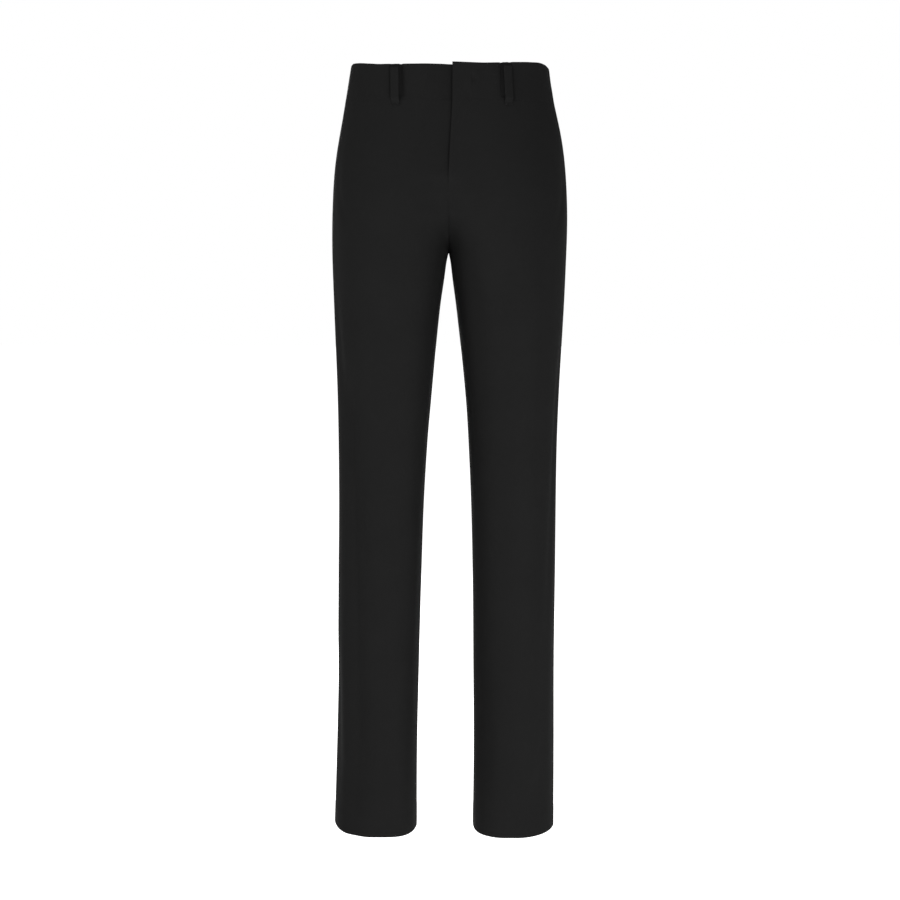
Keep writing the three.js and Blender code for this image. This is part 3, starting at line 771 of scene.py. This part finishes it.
def hook_drag(distance, z):
    """A slanting crease that the fastening drags down from its dent, over the waist seam."""
    along, height = HOOK_AT
    across = distance - along + HOOK_DRAG_SLANT * (height - z) + HOOK_DRAG_ASIDE
    ends = ease(z, *HOOK_DRAG_TOP) * ease(z, *HOOK_DRAG_BOTTOM)
    return HOOK_DRAG * bell(across, HOOK_DRAG_WIDTH) * ends


def finer(columns, *around):
    """The columns, with close ones round some distances."""
    near = np.arange(-FINE_REACH, FINE_REACH + FINE_STEP, FINE_STEP)
    merged = np.unique(np.concatenate([columns, *(middle + near for middle in around)]))
    keep = np.concatenate([[True], np.diff(merged) > CLOSEST_COLUMNS])
    keep[-1] = True
    return merged[keep]


def make_waistband():
    edge = fly_edge(0)
    left_end, right_end = (Section(side, 0).total for side in (LEFT, RIGHT))
    left_columns = finer(spaced(edge, left_end, GRID_STEP, NEAR_SEAM, NEAR_SEAM),
                         HOOK_AT[0], front_loop_at(LEFT, 0))
    under = spaced(-edge - UNDERLAP, -edge - 1, GRID_STEP, NEAR_SEAM, ())
    beside = spaced(-edge, right_end, GRID_STEP, NEAR_BAND_EDGE, NEAR_SEAM)
    right_columns = finer(np.concatenate([under, beside]), front_loop_at(RIGHT, 0))

    def right_lift(distance, z):
        past_edge = -edge - distance
        dip = BAND_DIP * float(ease(past_edge, *FLY_DIP_RANGE)) + float(hollow(past_edge))
        room = HOOK_ROOM * float(ease(past_edge, *HOOK_ROOM_RANGE))
        return BAND_PROUD - dip - room + band_relief(RIGHT, max(distance, 0), z)

    def left_lift(distance, z):
        return BAND_PROUD + band_relief(LEFT, distance, z)

    for node, side, columns, lift in (("waistband_left", LEFT, left_columns, left_lift),
                                      ("waistband_right", RIGHT, right_columns, right_lift)):
        grids = band_grids(side, columns, lift)
        piece = cloth_shell(node + "_cloth", *grids, BAND_BULGE)
        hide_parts(node)
        declare_sheet(grids)
        piece.data.materials.append(band_cloth)


# ---- behind the fly ----

CHAIN_FROM = 9.5
CHAIN_TO = 14.5
TAPE_WIDTH = 12
TAPE = 0.8
TAPE_DEPTH = 6.2
TAPE_TOP = PANEL_TOP - 1
TAPE_BOTTOM = -146
SHIELD_DEPTH = 7.2
SHIELD = 1.6
SHIELD_BOTTOM = -152
SHIELD_EDGES = (-10, 34)
HARD_EDGE = (0.5, 1.2)  # closer rows and columns at the edges of the tapes and the shield
BEHIND_STEP = 3
BEHIND_BULGE = dict.fromkeys(("top", "bottom", "start", "end"), 0.12)


def behind_fly(bottom, start, end, depth, thickness):
    """A strip behind the fly between two distances from its edge, at a depth."""
    def columns_at(z):
        return fly_edge(z) + spaced(start, end, BEHIND_STEP, HARD_EDGE, HARD_EDGE)

    def lift_at(z, distance):
        return -depth - seam_dip(RIGHT, z, distance)

    heights = spaced(TAPE_TOP, bottom, GRID_STEP, HARD_EDGE, HARD_EDGE)
    return wall_grids(LEFT, heights, columns_at, lift_at, lambda z: thickness)


def make_fly():
    shield = behind_fly(SHIELD_BOTTOM, *SHIELD_EDGES, SHIELD_DEPTH, SHIELD)
    left_tape = behind_fly(TAPE_BOTTOM, CHAIN_TO, CHAIN_TO + TAPE_WIDTH, TAPE_DEPTH, TAPE)
    right_tape = behind_fly(TAPE_BOTTOM, CHAIN_FROM - TAPE_WIDTH, CHAIN_FROM, TAPE_DEPTH, TAPE)
    pieces = {
        "fly_shield": (shield, "band_cloth", band_cloth),
        "zip_tape_left": (left_tape, "zip_tape", zip_tape),
        "zip_tape_right": (right_tape, "zip_tape", zip_tape),
    }
    for node, (grids, slot, material) in pieces.items():
        piece = cloth_shell(node + "_cloth", *grids, BEHIND_BULGE)
        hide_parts(node)
        declare_sheet(grids)
        piece.data.materials.append(material)


TOOTH_TOP = -62         # just below the slider
TOOTH_PITCH = 1.5
TOOTH_HEIGHT = 0.65
TOOTH_DEPTH = 5.9
TOOTH = 1.1
TOOTH_MESH = 0.5        # a tooth ends this share of the way from the middle back to its own tape
CHAIN_END = TAPE_BOTTOM + 2
BOX_FACES = np.array([
    (0, 1, 3, 2), (4, 6, 7, 5), (0, 4, 5, 1), (2, 3, 7, 6), (0, 2, 6, 4), (1, 5, 7, 3),
])


def make_teeth():
    """The closed zip's teeth: a row along each tape, set half a pitch apart."""
    middle = (CHAIN_FROM + CHAIN_TO) / 2
    corners = []
    for row, tape_edge in enumerate((CHAIN_FROM, CHAIN_TO)):
        ends = np.sort([tape_edge, middle + TOOTH_MESH * (middle - tape_edge)])
        for top in np.arange(TOOTH_TOP - row * TOOTH_PITCH / 2, CHAIN_END, -TOOTH_PITCH):
            for z in (top, top - TOOTH_HEIGHT):
                distance = fly_edge(top) + ends
                point, normal = spots(LEFT, z, distance)
                for depth in (TOOTH_DEPTH, TOOTH_DEPTH + TOOTH):
                    corners.extend(point - normal * (depth + seam_dip(RIGHT, z, distance))[:, None])
    faces = np.concatenate([BOX_FACES + first for first in range(0, len(corners), 8)])
    teeth = mesh_object("zip_teeth", np.array(corners) * MM, faces)
    teeth.data.polygons.foreach_set("use_smooth", [False] * len(faces))
    teeth.data.materials.append(dark_metal)


# ---- threads ----

def thread_mesh(ends, radius):
    """One mesh of many short threads, each from one point down to another, thick in its middle."""
    sides = 6
    rings = ((0.0, 0.35), (0.2, 0.9), (0.5, 1.0), (0.8, 0.9), (1.0, 0.35))
    turns = 2 * math.pi * np.arange(sides) / sides
    points, faces = [], []
    for start, end in ends:
        along = end - start
        u = np.cross(along, (1.0, 0.0, 0.0))
        u /= np.linalg.norm(u)
        v = np.cross(along, u) / np.linalg.norm(along)
        first = len(points)
        for share, width in rings:
            for angle in turns:
                out = u * math.cos(angle) + v * math.sin(angle)
                points.append(start + along * share + out * radius * width)
        for ring in range(len(rings) - 1):
            for k in range(sides):
                a = first + ring * sides + k
                b = first + ring * sides + (k + 1) % sides
                faces.append((a, b, b + sides, a + sides))
        for ring in (0, len(rings) - 1):
            base = first + ring * sides
            for k in (1, 3):
                faces.append((base, base + k, base + k + 1, base + k + 2))
    return np.array(points), np.array(faces)


# ---- belt loops ----

LOOP_WIDTH = 10.0
LOOP_CLOTH = 1.5
LOOP_TOP = -0.4         # below the band's top edge
LOOP_GAP = 0.3          # between the band and the sewn ends
LOOP_STANDOFF = 3.6     # how much more the middle stands off, for the belt,
LOOP_RISE_TOP = (0.01, 0.09)  # which it does between these shares of its length from the top
LOOP_RISE_BOTTOM = (0.06, 0.15)  # and from the bottom
LOOP_FOLD = 0.3         # the turned ends are thicker by this much
LOOP_FOLD_ENDS = (0.10, 0.06)
LOOP_EDGE = 0.3         # the long edges roll in by this much
LOOP_EDGE_WIDTH = 0.9
LOOP_EDGE_INSIDE = 0.3  # and on the inside by this share of that
LOOP_COLUMN_STEP = 1.4
LOOP_NEAR_EDGE = (0.4, 1.0)
LOOP_ROW_STEP = 0.03    # shares of its length
LOOP_NEAR_END = (0.01, 0.02)
LOOP_BULGE = {"top": 0.7, "bottom": 0.7, "start": 0.6, "end": 0.6}
BARTACKS_AT = (0.055, 0.945)  # shares of the loop's length
BARTACK_HEIGHT = 1.6
BARTACK_PITCH = 0.42
BARTACK_INSET = 1.2
BARTACK_PROUD = 0.12
THREAD = 0.23
LOOPS = table("name side place lean", [
    ("belt_loop_front_right", RIGHT, *FRONT_LOOPS[RIGHT]),
    ("belt_loop_front_left", LEFT, *FRONT_LOOPS[LEFT]),
    ("belt_loop_side_right", RIGHT, 1.36, -1.0),
    ("belt_loop_side_left", LEFT, 1.33, 0.5),
    ("belt_loop_back", LEFT, 2, 0),
])


def loop_grids(side, place, lean):
    """A strap from the band's top edge to just below its seam, sewn down at both ends."""
    top = float(band_top(side, float(distance_of(side, 0, place)))) + LOOP_TOP
    half = LOOP_WIDTH / 2
    across = spaced(-half, half, LOOP_COLUMN_STEP, LOOP_NEAR_EDGE, LOOP_NEAR_EDGE)
    outer, inner, uv = [], [], []
    for share in spaced(0, 1, LOOP_ROW_STEP, LOOP_NEAR_END, LOOP_NEAR_END):
        z = top + (LOOP_BOTTOM - top) * share
        rise = ease(share, *LOOP_RISE_TOP) * ease(1 - share, *LOOP_RISE_BOTTOM)
        folded = LOOP_FOLD * float(ease(min(share, 1 - share), *LOOP_FOLD_ENDS))
        centre = float(distance_of(side, z, place)) + lean * share
        lift = BAND_PROUD + LOOP_GAP + LOOP_STANDOFF * float(rise)
        point, normal = spots(side, z, centre + across)
        edge_roll = LOOP_EDGE * bell(half - np.abs(across), LOOP_EDGE_WIDTH)[:, None]
        outer.append(point + normal * (lift + LOOP_CLOTH + folded - edge_roll))
        inner.append(point + normal * (lift + edge_roll * LOOP_EDGE_INSIDE))
        uv.append(np.column_stack([across, np.full(len(across), z)]))
    return np.array(outer), np.array(inner), np.array(uv)


def bartack(outer, row):
    """Close short threads across a loop, just above its cloth."""
    across = outer[row]
    steps = np.linalg.norm(np.diff(across, axis=0), axis=1)
    lengths = np.concatenate([[0], np.cumsum(steps)])
    stitches = np.arange(BARTACK_INSET, lengths[-1] - BARTACK_INSET, BARTACK_PITCH)
    middle = np.column_stack([np.interp(stitches, lengths, across[:, k]) for k in range(3)])
    out = np.cross(across[-1] - across[0], outer[row - 1].mean(axis=0) - outer[row].mean(axis=0))
    out /= np.linalg.norm(out)
    if out @ (across.mean(axis=0) - (0, read(SECTIONS, "z", "side", 0), across[0, 2])) < 0:
        out = -out
    down = np.array([0, 0, -BARTACK_HEIGHT / 2])
    middle += out * BARTACK_PROUD
    return [(p - down, p + down) for p in middle]


def make_loops():
    for name, side, place, lean in zip(*LOOPS.values()):
        grids = loop_grids(side, place, lean)
        piece = cloth_shell(name + "_cloth", *grids, LOOP_BULGE)
        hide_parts(name)
        declare_sheet(grids)
        piece.data.materials.append(band_cloth)
        outer = grids[0]
        ends = [end for share in BARTACKS_AT for end in bartack(outer, round(len(outer) * share))]
        points, faces = thread_mesh([(a * MM, b * MM) for a, b in ends], THREAD * MM)
        stitches = mesh_object(name + "_bartacks", points, faces)
        stitches.data.materials.append(thread)


# ---- materials ----

class Nodes:
    """Short calls for building one material's node tree."""

    def __init__(self, name):
        self.material = bpy.data.materials.new(name)
        self.material.use_nodes = True
        self.tree = self.material.node_tree
        self.surface = self.tree.nodes["Principled BSDF"]

    def add(self, kind, inputs=None, **settings):
        node = self.tree.nodes.new(kind)
        for name, value in settings.items():
            setattr(node, name, value)
        for name, value in (inputs or {}).items():
            self.feed(node, name, value)
        return node

    def feed(self, node, name, value):
        if isinstance(value, bpy.types.NodeSocket):
            self.tree.links.new(value, node.inputs[name])
        else:
            node.inputs[name].default_value = value

    def maths(self, operation, a, b=0.0):
        return self.add("ShaderNodeMath", {0: a, 1: b}, operation=operation).outputs[0]

    def noise(self, vector, scale, detail):
        inputs = {"Vector": vector, "Scale": scale, "Detail": detail}
        return self.add("ShaderNodeTexNoise", inputs).outputs["Fac"]

    def mix(self, share, a, b):
        node = self.add("ShaderNodeMix", data_type="RGBA")
        self.feed(node, 0, share)
        self.feed(node, 6, a)
        self.feed(node, 7, b)
        return node.outputs[2]

    def stretched(self, vector, upward):
        """Coordinates that make a pattern finer in height, or coarser below 1."""
        inputs = {"Vector": vector, "Scale": (1.0, 1.0, upward)}
        return self.add("ShaderNodeMapping", inputs).outputs[0]

    def bump(self, height, distance, strength, below=None):
        inputs = {"Height": height, "Distance": distance, "Strength": strength}
        node = self.add("ShaderNodeBump", inputs)
        if below is not None:
            self.feed(node, "Normal", below)
        return node.outputs[0]


def twill(nodes, pitch):
    """A fine twill: diagonal ribs and the threads that cross them, as heights about 0."""
    uv = nodes.add("ShaderNodeUVMap", uv_map="cloth_mm").outputs[0]
    parts = nodes.add("ShaderNodeSeparateXYZ", {0: uv}).outputs
    turn = 2 * math.pi / pitch
    rib = nodes.maths("SINE", nodes.maths("MULTIPLY", nodes.maths("ADD", parts[0], parts[1]), turn))
    cross = nodes.maths("SINE", nodes.maths("MULTIPLY", parts[0], 2 * turn))
    return nodes.maths("MULTIPLY", rib, 0.35), nodes.maths("MULTIPLY", cross, 0.15)


BLACK = ((0.0065, 0.0065, 0.0065), (0.0125, 0.0125, 0.0125))
ZIP_BLACK = ((0.005, 0.005, 0.005), (0.009, 0.009, 0.009))
THREAD_BLACK = ((0.007, 0.007, 0.007), (0.013, 0.013, 0.013))
GREY_METAL = ((0.16, 0.16, 0.17), (0.30, 0.30, 0.31))
MOTTLE_SCALE = 700      # patterns are given in cycles a metre
PATCH_SCALE = 22
CREASE_SCALE = 38
GRAIN_SCALE = 900
CREASE_DEPTH = 0.0009   # heights of bumps in metres
WEAVE_DEPTH = 0.00006
GRAIN_DEPTH = 0.00002


def woven(name, colours, pitch, roughness=0.85):
    """Matt woven cloth with a fine twill, a slight mottle and small soft creases."""
    dark, light = colours
    nodes = Nodes(name)
    place = nodes.add("ShaderNodeTexCoord").outputs["Object"]
    rib, cross = twill(nodes, pitch)
    weave = nodes.maths("ADD", nodes.maths("ADD", rib, cross), 0.5)
    mottle = nodes.noise(place, MOTTLE_SCALE, 3)
    patch = nodes.noise(place, PATCH_SCALE, 2)
    share = nodes.maths("MULTIPLY", mottle, 0.55)
    share = nodes.maths("ADD", share, nodes.maths("MULTIPLY", patch, 0.25))
    share = nodes.maths("ADD", share, nodes.maths("MULTIPLY", weave, 0.2))
    uneven = nodes.maths("MULTIPLY", mottle, 0.1)
    surface = nodes.surface
    nodes.feed(surface, "Base Color", nodes.mix(share, (*dark, 1), (*light, 1)))
    nodes.feed(surface, "Roughness", nodes.maths("ADD", roughness - 0.05, uneven))
    nodes.feed(surface, "Specular IOR Level", 0.05)
    creased = nodes.noise(nodes.stretched(place, 0.35), CREASE_SCALE, 3)
    creases = nodes.bump(creased, CREASE_DEPTH, 0.35)
    nodes.feed(surface, "Normal", nodes.bump(weave, WEAVE_DEPTH, 0.5, creases))
    return nodes.material


def satin_metal():
    """The slider's, the teeth's and the fastening's dark metal, brushed along the height."""
    nodes = Nodes("dark_metal")
    place = nodes.add("ShaderNodeTexCoord").outputs["Object"]
    grain = nodes.noise(nodes.stretched(place, 14.0), GRAIN_SCALE, 2)
    dark, light = GREY_METAL
    surface = nodes.surface
    nodes.feed(surface, "Base Color", nodes.mix(grain, (*dark, 1), (*light, 1)))
    nodes.feed(surface, "Metallic", 1.0)
    nodes.feed(surface, "Roughness", nodes.maths("ADD", nodes.maths("MULTIPLY", grain, 0.2), 0.3))
    nodes.feed(surface, "Normal", nodes.bump(grain, GRAIN_DEPTH, 0.4))
    return nodes.material


leg_cloth = woven("leg_cloth", BLACK, 0.55)
band_cloth = woven("band_cloth", BLACK, 0.55)
zip_tape = woven("zip_tape_cloth", ZIP_BLACK, 0.9)
thread = woven("thread", THREAD_BLACK, 0.3, roughness=0.7)
dark_metal = satin_metal()

# ---- the pieces ----

make_panels()
make_waistband()
make_fly()
make_teeth()
make_loops()
for node_name in ("zip_slider", "waist_hook", "waist_bar"):
    node_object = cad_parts[node_name]
    node_object.data.materials.clear()
    node_object.data.materials.append(dark_metal)


# ---- floor, light and camera ----

def make_floor():
    """A plain pale floor a little below the hems, which hang in the air. It lights no cloth."""
    half, height = 14.0, -1.25
    corners = [(x * half, y * half, height) for x, y in ((-1, -1), (1, -1), (1, 1), (-1, 1))]
    mesh = bpy.data.meshes.new("floor")
    mesh.from_pydata(corners, [], [(0, 1, 2, 3)])
    floor = bpy.data.objects.new("floor", mesh)
    bpy.context.scene.collection.objects.link(floor)
    nodes = Nodes("floor_white")
    nodes.feed(nodes.surface, "Base Color", (0.9, 0.9, 0.9, 1))
    nodes.feed(nodes.surface, "Emission Color", (1, 1, 1, 1))
    nodes.feed(nodes.surface, "Emission Strength", 1.0)
    nodes.feed(nodes.surface, "Roughness", 0.9)
    floor.data.materials.append(nodes.material)
    floor.visible_diffuse = False


def aim(thing, target):
    way = np.array(target) - np.array(thing.location)
    yaw = math.atan2(-way[0], way[1])
    pitch = math.atan2(way[2], math.hypot(way[0], way[1]))
    thing.rotation_euler = (math.pi / 2 + pitch, 0, yaw)


LIGHTS = table("azimuth height distance aimed_at size strength", [
    # azimuth in degrees from the front towards the wearer's left, lengths in metres,
    # strength as a share of the white background's own
    (-25, 0.50, 1.9, -0.05, 0.7, 0.35),
    (32, -1.00, 1.9, -0.85, 0.8, 0.31),
    (15, -1.15, 1.9, -0.95, 0.8, 0.98),
    (-75, 0.10, 2.4, -0.40, 1.0, 0.28),
    (80, -0.20, 2.4, -0.60, 1.0, 0.06),
    (-172, 0.10, 2.6, -0.45, 1.0, 0.45),
])
SURROUNDINGS = 0.21     # light from all round, as a share of the white background


def soft_light(name, azimuth, height, distance, aimed_at, size, strength):
    """A square soft box aimed at the middle of the trousers at some height."""
    target = np.array([0, 0, aimed_at])
    turn = math.radians(azimuth)
    place = np.array([math.sin(turn) * distance, -math.cos(turn) * distance, height])
    light = bpy.data.lights.new(name, "AREA")
    light.size = size
    light.energy = strength * math.pi**2 * float(((place - target) ** 2).sum())
    lamp = bpy.data.objects.new(name, light)
    lamp.location = place
    bpy.context.scene.collection.objects.link(lamp)
    aim(lamp, target)


def make_light():
    """A white background, weaker light from all round than it would give, and soft boxes."""
    world = bpy.data.worlds.new("studio")
    world.use_nodes = True
    tree = world.node_tree
    seen = tree.nodes.new("ShaderNodeLightPath").outputs["Is Camera Ray"]
    strength = tree.nodes.new("ShaderNodeMapRange")
    strength.inputs["To Min"].default_value = SURROUNDINGS
    strength.inputs["To Max"].default_value = 1.0
    tree.links.new(seen, strength.inputs["Value"])
    background = tree.nodes["Background"]
    background.inputs["Color"].default_value = (1, 1, 1, 1)
    tree.links.new(strength.outputs["Result"], background.inputs["Strength"])
    bpy.context.scene.world = world
    for i, row in enumerate(zip(*LIGHTS.values())):
        soft_light("soft_light_%d" % (i + 1), *(float(value) for value in row))
    bpy.context.scene.view_settings.view_transform = "Standard"


CAMERA_AT = (0, -2.24, -0.2316)
CAMERA_TIPPED = 7.25    # degrees down from level
SENSOR = 36
LENS = 64.76


def make_camera():
    """In front of the hips, level with the crotch and tipped down, so that the hems show curved."""
    camera = bpy.data.objects.new("camera", bpy.data.cameras.new("camera"))
    camera.data.sensor_width = SENSOR
    camera.data.lens = LENS
    camera.location = CAMERA_AT
    camera.rotation_euler = (math.radians(90 - CAMERA_TIPPED), 0, 0)
    bpy.context.scene.collection.objects.link(camera)
    bpy.context.scene.camera = camera


make_floor()
make_light()
make_camera()
